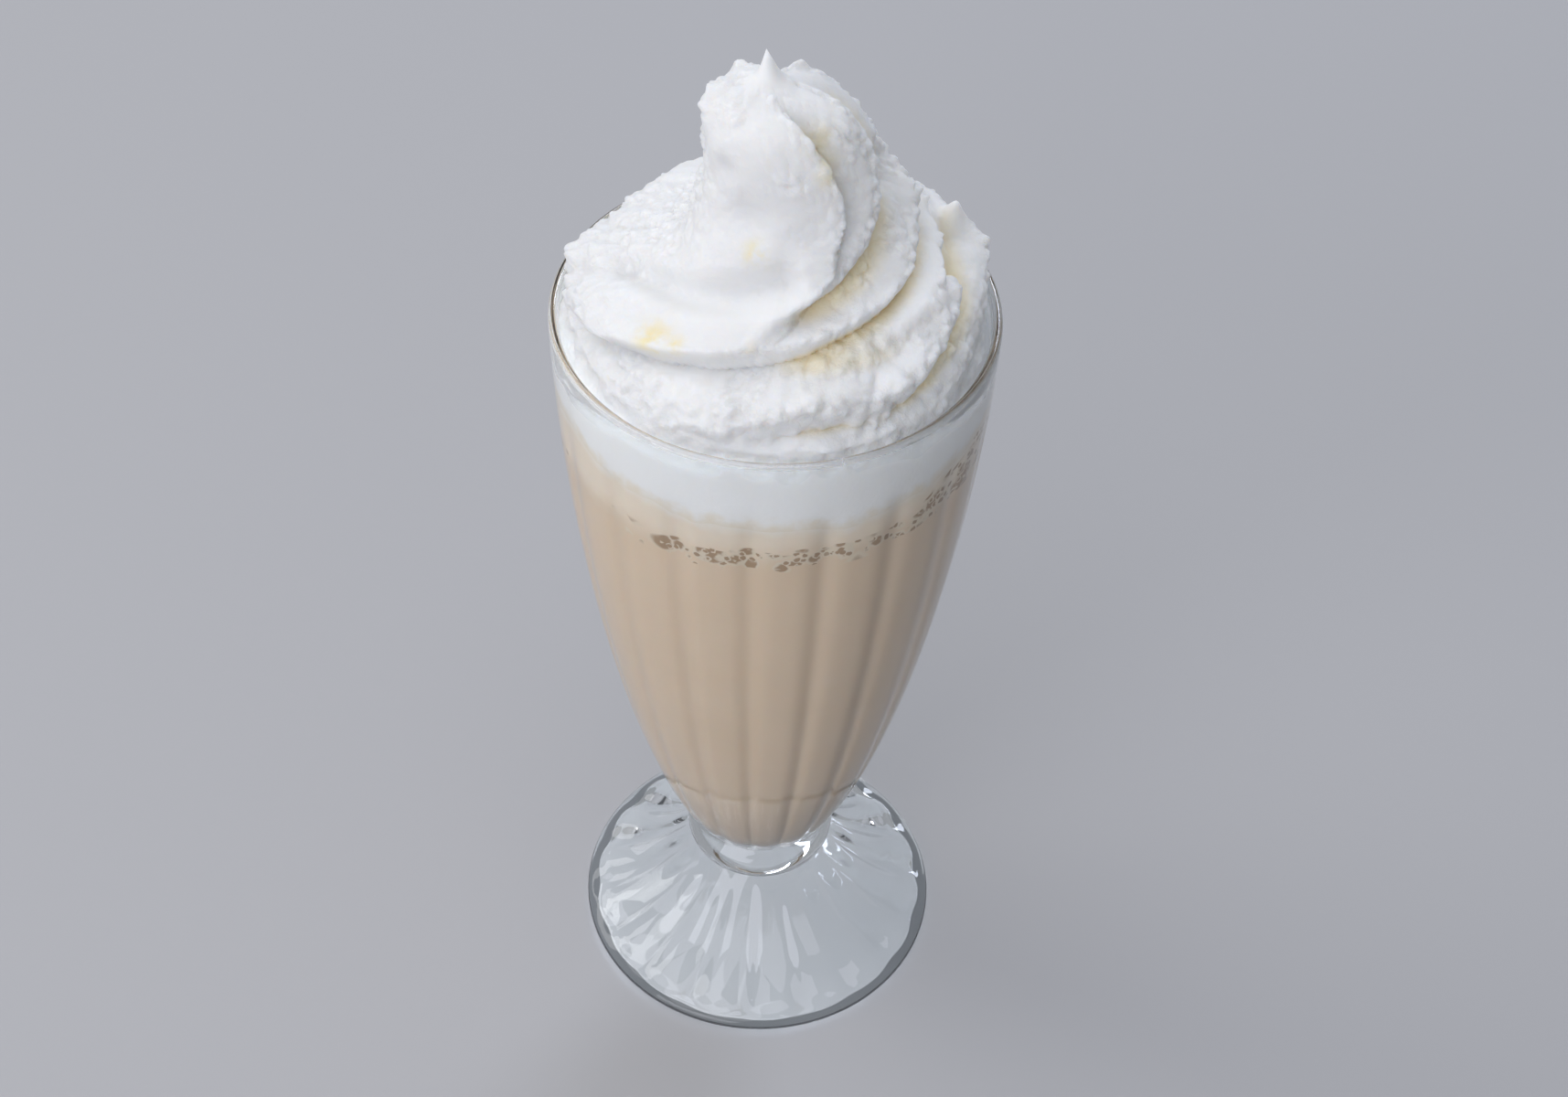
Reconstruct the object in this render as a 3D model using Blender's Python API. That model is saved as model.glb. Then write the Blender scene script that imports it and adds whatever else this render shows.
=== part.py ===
"""A coffee frappe in a footed, fluted soda glass with a tall swirl of piped cream.

Four closed solids, one object each: the glass, the coffee, the froth on the coffee and the
cream. Metres, +Z up, the glass stands on z = 0 with its axis on the origin and -Y is its front.
"""

import bpy
import numpy as np

MM = 0.001

# Glass, overall
GLASS_HEIGHT = 185.0
FLUTES = 18
FLUTE_START = -5.0  # degrees from the front to the first join between two flutes
COLUMNS_PER_FLUTE = 3

# Bowl
NECK_Z = 33.0
NECK_RADIUS = 13.0
RIM_RADIUS = 42.3
RIM_WALL = 1.85
FOOT_OF_BOWL_WALL = 3.2
BOWL_FULLNESS = (1.7, 0.7)  # powers of the curve that the bowl opens along
FLUTE_TOP_Z = 172.0  # above this a plain band runs up to the rim
OUTER_FLUTE = 0.25
INNER_RIB = 1.0
BOWL_FLOOR_Z = 37.6
BOWL_FLOOR_ROUNDING = 8.0

# Collar and foot
COLLAR_RADIUS = 16.5
COLLAR_Z = 28.6
COLLAR_HALF_HEIGHT = 4.0
FOOT_TOP_Z = 24.5
FOOT_TOP_RADIUS = 13.4
FOOT_RADIUS = 40.5
FOOT_EDGE = 1.6  # half the thickness of the rounded edge
REST_RING = (37.4, 39.2)
FOOT_FLUTE = 1.5
JOIN_POWER = 4.0  # higher for narrower joins between the flutes of the bowl
FOOT_JOIN_POWER = 2.5
HOLLOW_TOP_Z = 19.0
HOLLOW_RADIUS = 37.0

# Contents
GAP = 0.3  # between each filling and the glass, and between two fillings
COFFEE_LEVEL = 158.6
COFFEE_TILT = 2.2  # how far the froth reaches lower on one side
FROTH_LEVEL = 167.0
FROTH_CLIMB = 4.0  # how far the froth climbs the wall at the sides

# Cream: radius and height of its mean surface, from the glass's rim up to the tip
CREAM_STATIONS = (
    (39.9, 186.0), (38.9, 189.5), (35.8, 194.5), (30.2, 199.5), (24.4, 204.5), (20.6, 210.0),
    (17.6, 216.5), (15.8, 223.0), (14.6, 229.0), (12.8, 233.0), (9.0, 235.4), (3.6, 236.8), (1.6, 238.2),
    (0.6, 240.6),
)
CREAM_TOP = (-3.0, 0.0, 242.0)
CREAM_LEAN = 2.4  # sideways shift of its middle
# Slimmer places of the cream: depth, azimuth, half angle, and its middle and reach between rim and tip
CREAM_DENTS = (
    (4.0, -120.0, 55.0, 0.33, 0.17), (1.5, -100.0, 35.0, 0.60, 0.50), (5.5, 168.0, 60.0, 1.00, 0.30),
)
RIM_GAPS = ((2.0, -70.0, 34.0), (2.6, -128.0, 16.0), (1.8, 80.0, 35.0))  # depth, azimuth, half angle
CREAM_FOLDS = 5
FOLD_RADII = (12.0, 14.0, 16.5, 18.7, 20.7, 23.9, 28.1, 33.0, 37.2, 40.0)
FOLD_TURNS = (-0.30, -0.27, -0.05, 0.24, 0.47, 0.88, 1.75, 2.40, 2.85, 3.15)  # creases passed by each radius
FOLD_HEIGHT = 4.4
FOLD_CREST = 0.76  # where between two creases a fold is highest
FOLD_SPREAD = 0.5  # on the right the outer creases lie this share of a fold further out
EDGE_HEIGHT = 3.4  # the last turn of cream lies this far over the turns beside it
EDGE_STEP = 3.0  # width of the step at its edge
EDGE_REACH = 18.0  # distance over which that turn sinks back into the cream
EDGE_RADII = (6.0, 11.0, 14.7, 17.3, 20.5, 23.0, 26.0, 29.7, 33.6, 35.4, 38.3, 40.0)
EDGE_AZIMUTHS = (12.0, 26.0, 36.0, 31.0, 21.0, 12.0, 2.0, -7.0, -33.0, -44.0, -65.0, -85.0)
SOFT_CREASE = ((-85.0, 33.0), (-60.0, 27.5), (-30.0, 24.0), (-5.0, 21.5))  # azimuth, radius, on the last turn
SOFT_CREASE_DEPTH = 2.0
PULLED_POINTS = (((33.0, 12.3, 196.0), (33.6, 12.3, 202.5)), ((-36.0, 4.5, 192.5), (-38.8, 4.8, 193.5)))
COLUMNS_PER_FOLD = 12
CREAM_RINGS = 38

# Finishes: colour, roughness, transmission
GLASS_FINISH = ((0.92, 0.94, 0.95), 0.03, 1.0)
COFFEE_FINISH = ((0.62, 0.46, 0.31), 0.35, 0.0)
FROTH_FINISH = ((0.70, 0.55, 0.38), 0.45, 0.0)
CREAM_FINISH = ((0.90, 0.89, 0.85), 0.45, 0.0)


def smooth_step(x):
    """0 below 0, 1 above 1, with level ends between."""
    x = np.clip(x, 0.0, 1.0)
    return x * x * (3.0 - 2.0 * x)


def bowl_radius(z):
    """Mean outer radius of the bowl at a height."""
    open_by, fullness = BOWL_FULLNESS
    t = np.clip((z - NECK_Z) / (GLASS_HEIGHT - NECK_Z), 0.0, 1.0)
    return NECK_RADIUS + (RIM_RADIUS - NECK_RADIUS) * (1.0 - (1.0 - t) ** open_by) ** fullness


def wall(z):
    """Thickness of the bowl's wall at a height."""
    t = np.clip((z - NECK_Z) / (GLASS_HEIGHT - NECK_Z), 0.0, 1.0)
    return RIM_WALL + (FOOT_OF_BOWL_WALL - RIM_WALL) * (1.0 - t)


def flute_band(z):
    """1 along the fluted part of the bowl, fading to 0 at the plain band and at the neck."""
    return smooth_step((FLUTE_TOP_Z + 3.0 - z) / 14.0) * smooth_step((z - NECK_Z) / 6.0)


def flute_join(azimuth, power=JOIN_POWER):
    """1 on the narrow joins between two flutes and 0 on their broad faces."""
    turn = (azimuth - FLUTE_START) * FLUTES / 360.0
    return np.abs(np.cos(np.pi * turn)) ** power


def inner_radius(z, azimuth):
    """Radius of the bowl's inside, ribs included and rounded in to its floor."""
    rounded = np.clip((BOWL_FLOOR_Z + BOWL_FLOOR_ROUNDING - z) / BOWL_FLOOR_ROUNDING, 0.0, 1.0)
    plain = (bowl_radius(z) - wall(z)) * np.sqrt(1.0 - 0.9 * rounded ** 2)
    return plain - INNER_RIB * flute_band(z) * flute_join(azimuth)


def coffee_top(azimuth):
    """Height where the coffee meets the froth on the wall."""
    return COFFEE_LEVEL + COFFEE_TILT * np.sin(np.radians(azimuth))


def froth_top(azimuth):
    """Height where the froth meets the cream on the wall."""
    return FROTH_LEVEL + FROTH_CLIMB * np.sin(np.radians(azimuth)) ** 2


def ring(radius, z, azimuth, x=0.0, y=0.0):
    """Points of one ring; azimuth 0 is the front and +90 degrees is +X."""
    angle = np.radians(azimuth)
    z = np.broadcast_to(z, angle.shape)
    return np.stack([x + radius * np.sin(angle), y - radius * np.cos(angle), z], axis=1)


def flute_columns():
    """Azimuths of the glass's columns, one of them on each join between flutes."""
    count = FLUTES * COLUMNS_PER_FLUTE
    return FLUTE_START + np.arange(count) * 360.0 / count


def split_quad(points, a, b, c, d):
    """Two triangles that share the shorter diagonal."""
    if np.linalg.norm(points[a] - points[c]) <= np.linalg.norm(points[b] - points[d]):
        return [(a, b, c), (a, c, d)]
    return [(a, b, d), (b, c, d)]


def ring_body(name, first_pole, rings, last_pole, finish):
    """Makes one closed object from a pole, rings of equal length and another pole."""
    count = len(rings[0])
    points = np.vstack([[first_pole], *rings, [last_pole]]) * MM
    last = len(points) - 1
    start = [1 + count * i for i in range(len(rings))]
    faces = []
    for j in range(count):
        k = (j + 1) % count
        faces.append((0, start[0] + k, start[0] + j))
        for a, b in zip(start, start[1:]):
            faces += split_quad(points, a + j, a + k, b + k, b + j)
        faces.append((start[-1] + j, start[-1] + k, last))
    mesh = bpy.data.meshes.new(name)
    mesh.from_pydata(points.tolist(), [], faces)
    mesh.validate()
    mesh.materials.append(material(name, finish))
    body = bpy.data.objects.new(name, mesh)
    bpy.context.collection.objects.link(body)
    mesh.shade_smooth()
    mesh.set_sharp_from_angle(angle=np.radians(50.0))
    return body


def material(name, finish):
    colour, roughness, transmission = finish
    made = bpy.data.materials.new(name)
    made.use_nodes = True
    shader = made.node_tree.nodes["Principled BSDF"]
    shader.inputs["Base Color"].default_value = (*colour, 1.0)
    shader.inputs["Roughness"].default_value = roughness
    shader.inputs["Metallic"].default_value = 0.0
    shader.inputs["Transmission Weight"].default_value = transmission
    shader.inputs["IOR"].default_value = 1.5
    return made


def foot_rings(azimuth):
    """Rings of the hollow underside, the flat rest ring, the edge and the fluted top of the foot."""
    rings = []
    for t in (0.16, 0.34, 0.52, 0.70, 0.85, 1.0):
        rings.append(ring(HOLLOW_RADIUS * t, HOLLOW_TOP_Z * (1.0 - t ** 1.25) ** 1.15 + 0.4, azimuth))
    rings += [ring(radius, 0.0, azimuth) for radius in REST_RING]
    for turn in (-30.0, 15.0, 60.0):
        turn = np.radians(turn)
        rings.append(ring(FOOT_RADIUS - FOOT_EDGE * (1.0 - np.cos(turn)),
                          FOOT_EDGE * (1.0 + np.sin(turn)), azimuth))
    scallop = 1.0 - flute_join(azimuth, FOOT_JOIN_POWER)
    for t in (0.97, 0.86, 0.72, 0.58, 0.44, 0.30, 0.16, 0.0):
        radius = FOOT_TOP_RADIUS + (FOOT_RADIUS - 1.0 - FOOT_TOP_RADIUS) * t
        z = 2.0 * FOOT_EDGE + 0.2 + (FOOT_TOP_Z - 2.0 * FOOT_EDGE) * (1.0 - t) ** 1.9
        raised = FOOT_FLUTE * smooth_step((1.0 - t) / 0.15) * smooth_step(t / 0.3)
        rings.append(ring(radius, z + raised * scallop, azimuth))
    return rings


def glass():
    azimuth = flute_columns()
    rings = foot_rings(azimuth)
    for turn in (-60.0, -25.0, 10.0, 45.0):
        turn = np.radians(turn)
        rings.append(ring(NECK_RADIUS + (COLLAR_RADIUS - NECK_RADIUS) * np.cos(turn),
                          COLLAR_Z + COLLAR_HALF_HEIGHT * np.sin(turn), azimuth))
    grooves = OUTER_FLUTE * flute_join(azimuth)
    for z in (33.0, 34.6, 37.0, 41.0, 47.0, 55.0, 65.0, 77.0, 91.0, 107.0, 124.0, 142.0, 158.0, 172.0, 184.2):
        rings.append(ring(bowl_radius(z) - grooves * flute_band(z), z, azimuth))
    rings.append(ring(RIM_RADIUS - RIM_WALL / 2, GLASS_HEIGHT, azimuth))
    for z in (184.2, 172.0, 158.0, 142.0, 124.0, 107.0, 91.0, 77.0, 65.0, 55.0, 48.0, 43.0, 39.5, 37.9):
        rings.append(ring(inner_radius(z, azimuth), z, azimuth))
    return ring_body("glass", (0.0, 0.0, HOLLOW_TOP_Z + 0.4), rings, (0.0, 0.0, BOWL_FLOOR_Z), GLASS_FINISH)


def filling(name, bottom, heights, finish):
    """A filling that keeps the gap to the bowl's inside, from its lowest ring to its level."""
    azimuth = flute_columns()
    rings = [ring(inner_radius(z, azimuth) - GAP, z, azimuth) for z in heights(azimuth)]
    top = float(np.mean(rings[-1][:, 2]))
    return ring_body(name, (0.0, 0.0, bottom), rings, (0.0, 0.0, top), finish)


def coffee():
    def heights(azimuth):
        level = coffee_top(azimuth) - GAP / 2
        fixed = (38.3, 39.9, 43.3, 48.3, 55.0, 65.0, 77.0, 91.0, 107.0, 124.0, 142.0)
        return [np.full_like(level, z) for z in fixed] + [level]
    return filling("coffee", BOWL_FLOOR_Z + 0.4, heights, COFFEE_FINISH)


def froth():
    def heights(azimuth):
        low, high = coffee_top(azimuth) + GAP / 2, froth_top(azimuth) - GAP / 2
        return [low, (low + high) / 2, high]
    return filling("froth", COFFEE_LEVEL + GAP / 2, heights, FROTH_FINISH)


def fold_shape(phase):
    """Height across one fold: it rises gently from a crease and drops steeply at the next one."""
    f = np.mod(phase, 1.0)
    rise = np.clip(f / FOLD_CREST, 0.0, 1.0)
    rise = 0.5 * np.sin(0.5 * np.pi * rise) + 0.5 * rise ** 1.3
    drop = np.cos(0.5 * np.pi * np.clip((f - FOLD_CREST) / (1.0 - FOLD_CREST), 0.0, 1.0)) ** 0.6
    return np.where(f < FOLD_CREST, rise, drop)


def centred(azimuth):
    """The azimuth as an angle from -180 to 180 degrees."""
    return np.mod(azimuth + 180.0, 360.0) - 180.0


def hump(azimuth, middle, half_angle):
    """1 at one azimuth, easing to 0 on both sides of it."""
    return np.exp(-(centred(azimuth - middle) / half_angle) ** 2)


def relief(radius, phase, azimuth):
    """Height of the folds, of the last turn that covers them at the front, and of its soft crease."""
    around = centred(azimuth)
    turn = np.mod(np.interp(radius, EDGE_RADII, EDGE_AZIMUTHS) - azimuth, 360.0)
    inside = np.radians(turn) * radius
    over = smooth_step(inside / EDGE_STEP) * np.exp(-inside / EDGE_REACH)
    cover = smooth_step(turn / 6.0) * smooth_step((190.0 - turn) / 60.0)
    right = smooth_step((around + 5.0) / 45.0) * smooth_step((160.0 - around) / 40.0)
    fold = fold_shape(phase - FOLD_SPREAD * right * smooth_step((radius - 28.5) / 4.0))
    fold = fold + (0.8 - fold) * cover
    line = np.array(SOFT_CREASE)
    low = np.exp(-((radius - np.interp(around, line[:, 0], line[:, 1])) / 2.2) ** 2)
    low = low * smooth_step((around + 95.0) / 15.0) * smooth_step((8.0 - around) / 12.0)
    raised = FOLD_HEIGHT * (fold - 0.55) * (1.0 - 0.5 * over) + EDGE_HEIGHT * (over - 0.3)
    return raised - SOFT_CREASE_DEPTH * low


def slimming(radius, up, azimuth):
    """How far the cream is drawn in, at its dents and where it leaves the glass's rim."""
    dents = sum(
        depth * hump(azimuth, middle, half_angle) * np.exp(-((up - height) / reach) ** 2)
        for depth, middle, half_angle, height, reach in CREAM_DENTS
    )
    gaps = sum(depth * hump(azimuth, middle, half_angle) for depth, middle, half_angle in RIM_GAPS)
    return dents * smooth_step(radius / 8.0) + gaps * smooth_step((radius - 36.5) / 3.0)


def cream_rings():
    """Rings of the swirl from the tip down, their columns turned so that each follows a crease."""
    stations = np.array(CREAM_STATIONS)[::-1]
    along = np.concatenate([[0.0], np.cumsum(np.hypot(*np.diff(stations, axis=0).T))])
    fine = np.linspace(0.0, along[-1], 400)
    radius, z = (np.interp(fine, along, stations[:, i]) for i in (0, 1))
    slope_r, slope_z = np.gradient(radius, fine), np.gradient(z, fine)
    length = np.hypot(slope_r, slope_z)
    turns = np.interp(radius, FOLD_RADII, FOLD_TURNS)
    turns = np.convolve(np.pad(turns, 12, mode="edge"), np.full(25, 1 / 25), mode="valid")
    spacing = fine / fine[-1] + (turns - turns[0]) / (turns[-1] - turns[0])
    at = np.interp(np.linspace(0.0, 2.0, CREAM_RINGS), spacing, fine)
    radius, z, turns, out_r, out_z = (
        np.interp(at, fine, values) for values in (radius, z, turns, -slope_z / length, slope_r / length)
    )
    phase = np.arange(CREAM_FOLDS * COLUMNS_PER_FOLD) / COLUMNS_PER_FOLD
    rings = []
    for i in range(CREAM_RINGS):
        azimuth = (phase - turns[i]) * 360.0 / CREAM_FOLDS
        fade = smooth_step((radius[i] - 4.0) / 13.0) * smooth_step((z[i] - 185.5) / 6.0)
        raised = relief(radius[i], phase, azimuth) * fade
        up = (z[i] - CREAM_STATIONS[0][1]) / (CREAM_TOP[2] - CREAM_STATIONS[0][1])
        middle = CREAM_LEAN * np.sin(np.pi * up) + CREAM_TOP[0] * smooth_step((up - 0.6) / 0.3)
        slim = radius[i] - slimming(radius[i], up, azimuth)
        rings.append(ring(slim + raised * out_r[i], z[i] + raised * out_z[i], azimuth, x=middle))
    for place, tip in PULLED_POINTS:
        away = [np.linalg.norm(points - place, axis=1) for points in rings]
        row = int(np.argmin([found.min() for found in away]))
        rings[row][int(np.argmin(away[row]))] = tip
    return rings, azimuth


def cream():
    rings, azimuth = cream_rings()
    low = froth_top(azimuth) + GAP / 2
    for t in (1.0, 0.55, 0.0):
        z = low + (183.5 - low) * t
        plain = inner_radius(z, np.full_like(azimuth, FLUTE_START)) - GAP - 0.05
        rings.append(ring(plain - slimming(40.0, 0.0, azimuth) * smooth_step((z - 179.0) / 4.5), z, azimuth))
    return ring_body("cream", (0.0, 0.0, float(np.mean(low))), rings[::-1], CREAM_TOP, CREAM_FINISH)


def main():
    for item in list(bpy.data.objects):
        bpy.data.objects.remove(item, do_unlink=True)
    glass()
    coffee()
    froth()
    cream()


main()
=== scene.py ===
"""Looks of a coffee frappe: a footed, fluted soda glass, milky coffee, froth and piped cream.

Sizes are in millimetres until a mesh is made, with the glass's axis on the origin, +Z up and
-Y the side that faces the camera. An azimuth is in degrees from that side, +90 towards +X.
"""

import logging
import math
from dataclasses import dataclass, field
from enum import Enum

import bpy
import numpy as np
from mathutils import Matrix, Vector


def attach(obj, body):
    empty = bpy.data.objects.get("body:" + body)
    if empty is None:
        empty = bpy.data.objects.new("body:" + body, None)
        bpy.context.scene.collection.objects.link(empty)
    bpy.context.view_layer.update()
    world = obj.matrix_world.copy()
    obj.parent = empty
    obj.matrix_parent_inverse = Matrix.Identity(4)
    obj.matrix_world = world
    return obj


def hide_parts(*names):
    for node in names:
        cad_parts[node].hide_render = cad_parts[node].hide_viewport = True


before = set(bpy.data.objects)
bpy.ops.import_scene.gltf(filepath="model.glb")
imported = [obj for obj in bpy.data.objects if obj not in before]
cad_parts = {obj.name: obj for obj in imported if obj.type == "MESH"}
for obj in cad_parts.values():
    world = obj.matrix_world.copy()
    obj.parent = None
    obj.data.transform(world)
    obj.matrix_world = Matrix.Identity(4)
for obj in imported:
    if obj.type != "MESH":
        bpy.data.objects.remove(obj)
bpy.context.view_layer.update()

MM = 0.001
SHARP_FROM = math.radians(75.0)
LOG = logging.getLogger("frappe")
Array = np.ndarray
Tree = bpy.types.NodeTree
Socket = bpy.types.NodeSocket
Material = bpy.types.Material
Piece = bpy.types.Object
Pair = tuple[float, float]
Triple = tuple[float, float, float]


def smooth_step(x: Array | float) -> Array:
    """Eased ramp x^2 (3 - 2x), 0 below 0 and 1 above 1."""
    x = np.clip(x, 0.0, 1.0)
    return x * x * (3.0 - 2.0 * x)


def rise(x: Array | float, start: float, length: float) -> Array:
    """Eased ramp from 0 at a start to 1 a length past it, or before it if the length is negative."""
    return smooth_step((x - start) / length)


def spaced(start: float, end: float, count: int) -> Array:
    """Even steps from start to end, one for each ring."""
    return np.linspace(start, end, count)[:, None]


def smoothed(values: Array, reach: int, **padding: str) -> Array:
    """Running average over some neighbours on each side, with padded ends."""
    weights = np.full(2 * reach + 1, 1 / (2 * reach + 1))
    return np.convolve(np.pad(values, reach, **padding), weights, mode="valid")


def linear(code: str) -> tuple[float, float, float, float]:
    """Linear red, green, blue and an alpha of 1 from the six sRGB hex digits after a hash sign."""
    part = [int(code[i : i + 2], 16) / 255.0 for i in (1, 3, 5)]
    red, green, blue = (c / 12.92 if c <= 0.04045 else ((c + 0.055) / 1.055) ** 2.4 for c in part)
    return red, green, blue, 1.0


@dataclass
class Lumps:
    """Smooth random lumps: values on a wrapped lattice, eased between its points."""

    seed: int
    size: int = 32
    lattice: Array = field(init=False)

    def __post_init__(self) -> None:
        """Draws the lattice's values."""
        self.lattice = np.random.default_rng(self.seed).uniform(-1.0, 1.0, (self.size,) * 3)

    def at(self, points: Array, pitch: float) -> Array:
        """Lump height at points: the eight lattice values around each, mixed with eased weights.

        Args:
            points: Positions in mm, the last axis holding x, y and z.
            pitch: Distance in mm between lattice points.

        Returns:
            One value between -1 and 1 for each point.
        """
        scaled = points / pitch
        low = np.floor(scaled).astype(int)
        weight = smooth_step(scaled - low)
        total = np.zeros(points.shape[:-1])
        for corner in np.ndindex(2, 2, 2):
            index = np.mod(low + corner, self.size)
            share = np.prod(np.where(np.array(corner) == 1, weight, 1.0 - weight), axis=-1)
            total += share * self.lattice[index[..., 0], index[..., 1], index[..., 2]]
        return total

    def layers(self, points: Array, *layers: Triple, knobs: bool = False) -> Array:
        """Height of layers (height, pitch, shift) added up, of lumps or of knobs with sharp valleys."""
        found = [(height, self.at(points + shift, pitch)) for height, pitch, shift in layers]
        return sum(height * (np.abs(value) if knobs else value) for height, value in found)


def turned(radius: Array | float, z: Array | float, azimuth: Array, middle: Array | float = 0.0) -> Array:
    """Points (m + r sin a, -r cos a, z) of a surface around the glass's axis.

    Args:
        radius: Radius in mm.
        z: Height in mm.
        azimuth: Degrees from the front.
        middle: Sideways shift m in mm.

    Returns:
        The points, with x, y and z on the last axis.
    """
    angle = np.radians(azimuth)
    radius, z, angle, middle = np.broadcast_arrays(radius, z, angle, middle)
    return np.stack([middle + radius * np.sin(angle), -radius * np.cos(angle), z], axis=-1)


def shell(name: str, rows: Array, first: tuple, last: tuple) -> Piece:
    """A closed smooth surface from a grid of rings, with a pole point at each end.

    Args:
        name: Name of the piece.
        rows: Rings by columns by xyz, in mm, each ring closing on itself.
        first: Pole before the first ring, in mm.
        last: Pole after the last ring, in mm.

    Returns:
        The object, at the origin, with its faces pointing out.
    """
    rings, count, _ = rows.shape
    points = np.concatenate([[first], rows.reshape(-1, 3), [last]]) * MM
    j = np.arange(count)
    k = (j + 1) % count
    base = 1 + count * np.arange(rings - 1)[:, None]
    quads = np.stack([base + j, base + k, base + count + k, base + count + j], axis=-1).reshape(-1, 4)
    end = 1 + count * (rings - 1)
    low = np.stack([np.zeros_like(j), 1 + k, 1 + j], axis=-1)
    high = np.stack([end + j, end + k, np.full_like(j, len(points) - 1)], axis=-1)
    mesh = bpy.data.meshes.new(name)
    mesh.from_pydata(points.tolist(), [], low.tolist() + quads.tolist() + high.tolist())
    mesh.shade_smooth()
    mesh.set_sharp_from_angle(angle=SHARP_FROM)
    piece = bpy.data.objects.new(name, mesh)
    bpy.context.scene.collection.objects.link(piece)
    return piece


def paint(piece: Piece, name: str, rows: Array, first: float, last: float) -> None:
    """Stores a number for each point of a shell's grid and for its poles, for its material."""
    layer = piece.data.attributes.new(name, "FLOAT", "POINT")
    layer.data.foreach_set("value", np.concatenate([[first], rows.ravel(), [last]]).astype(np.float32))


def add_node(tree: Tree, kind: str, settings: dict | None = None, **inputs: object) -> bpy.types.Node:
    """Adds one node with its settings, socket values and links.

    Args:
        tree: Node tree that gets it.
        kind: Type name of the node.
        settings: Properties of the node itself.
        **inputs: Socket values or sockets to link, by input name with _ for a space, or
            in0, in1 and so on by place.

    Returns:
        The node.
    """
    made = tree.nodes.new(kind)
    for key, value in (settings or {}).items():
        setattr(made, key, value)
    for key, value in inputs.items():
        place = int(key[2:]) if key[:2] == "in" and key[2:].isdigit() else key.replace("_", " ")
        if isinstance(value, Socket):
            tree.links.new(value, made.inputs[place])
        else:
            made.inputs[place].default_value = value
    return made


def maths(tree: Tree, operation: str, *values: Socket | float) -> Socket:
    """The result of one operation on numbers."""
    inputs = {f"in{place}": value for place, value in enumerate(values)}
    return add_node(tree, "ShaderNodeMath", {"operation": operation}, **inputs).outputs[0]


def ramp(
    tree: Tree, value: Socket, start: float, end: float, low: float = 0.0, high: float = 1.0,
    curve: str = "SMOOTHSTEP",
) -> Socket:
    """A number that goes from low to high, eased or LINEAR, while a value goes from start to end."""
    inputs = {"Value": value, "From_Min": start, "From_Max": end, "To_Min": low, "To_Max": high}
    return add_node(tree, "ShaderNodeMapRange", {"interpolation_type": curve}, **inputs).outputs[0]


def blend(tree: Tree, share: Socket, first: Socket | str, second: str) -> Socket:
    """A mix of two colours in hex, the first of which may be mixed already."""
    under = linear(first) if isinstance(first, str) else first
    kind = {"data_type": "RGBA"}
    return add_node(tree, "ShaderNodeMix", kind, in0=share, in6=under, in7=linear(second)).outputs[2]


def noise(
    tree: Tree, place: Socket, size: float, detail: float, output: str = "Fac", rough: float = 0.5
) -> Socket:
    """Soft noise with features of a size in mm and finer layers of a roughness."""
    inputs = {"Vector": place, "Scale": per_mm(size), "Detail": detail, "Roughness": rough}
    return add_node(tree, "ShaderNodeTexNoise", None, **inputs).outputs[output]


def cells(tree: Tree, place: Socket, size: float) -> bpy.types.Node:
    """Irregular cells about this many millimetres across."""
    return add_node(tree, "ShaderNodeTexVoronoi", {"feature": "F1"}, Vector=place, Scale=per_mm(size))


def bump(tree: Tree, height: Socket, strength: float, depth: float) -> Socket:
    """Fine relief in the shading, with its depth in mm."""
    made = add_node(tree, "ShaderNodeBump", None, Strength=strength, Distance=depth * MM, Height=height)
    return made.outputs["Normal"]


def attribute(tree: Tree, name: str) -> Socket:
    """One of the numbers that paint stored."""
    return add_node(tree, "ShaderNodeAttribute", {"attribute_name": name}).outputs["Fac"]


def finish_tree(tree: Tree, **inputs: object) -> None:
    """Ends a tree with the surface that these inputs give."""
    shader = add_node(tree, "ShaderNodeBsdfPrincipled", None, **inputs)
    add_node(tree, "ShaderNodeOutputMaterial", None, Surface=shader.outputs[0])


def new_tree(name: str) -> tuple[Material, Tree, Socket]:
    """An empty material.

    Args:
        name: Name of the material.

    Returns:
        The material, its node tree and its Object coordinates.
    """
    made = bpy.data.materials.new(name)
    made.use_nodes = True
    tree = made.node_tree
    tree.nodes.clear()
    return made, tree, add_node(tree, "ShaderNodeTexCoord").outputs["Object"]


def per_mm(size: float) -> float:
    """Texture scale whose features are about this many millimetres apart."""
    return 1.0 / (size * MM)


@dataclass(frozen=True)
class PressedGlass:
    """Clear soda-lime glass, pressed in a mould and fire polished: bright, with a faint waviness."""

    colour: str = "#fbfdfd"
    ior: float = 1.52
    roughness: float = 0.0
    wave: float = 9.0  # mm between the mould's slight swells
    relief: Pair = (0.12, 0.4)  # strength, and depth in mm
    shadow: str = "#eef1f2"

    def material(self) -> Material:
        """Builds it.

        Returns:
            The material. Light on its way to the drink passes straight through the thin wall.
        """
        made, tree, place = new_tree("pressed_glass")
        swell = noise(tree, place, self.wave, 1.0)
        glass = add_node(
            tree, "ShaderNodeBsdfPrincipled", None, Base_Color=linear(self.colour), Roughness=self.roughness,
            IOR=self.ior, Transmission_Weight=1.0, Normal=bump(tree, swell, *self.relief),
        )
        clear = add_node(tree, "ShaderNodeBsdfTransparent", None, Color=linear(self.shadow))
        path = add_node(tree, "ShaderNodeLightPath")
        mixed = add_node(
            tree, "ShaderNodeMixShader", None, in0=path.outputs["Is Shadow Ray"], in1=glass.outputs[0],
            in2=clear.outputs[0],
        )
        add_node(tree, "ShaderNodeOutputMaterial", None, Surface=mixed.outputs[0])
        return made


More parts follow.
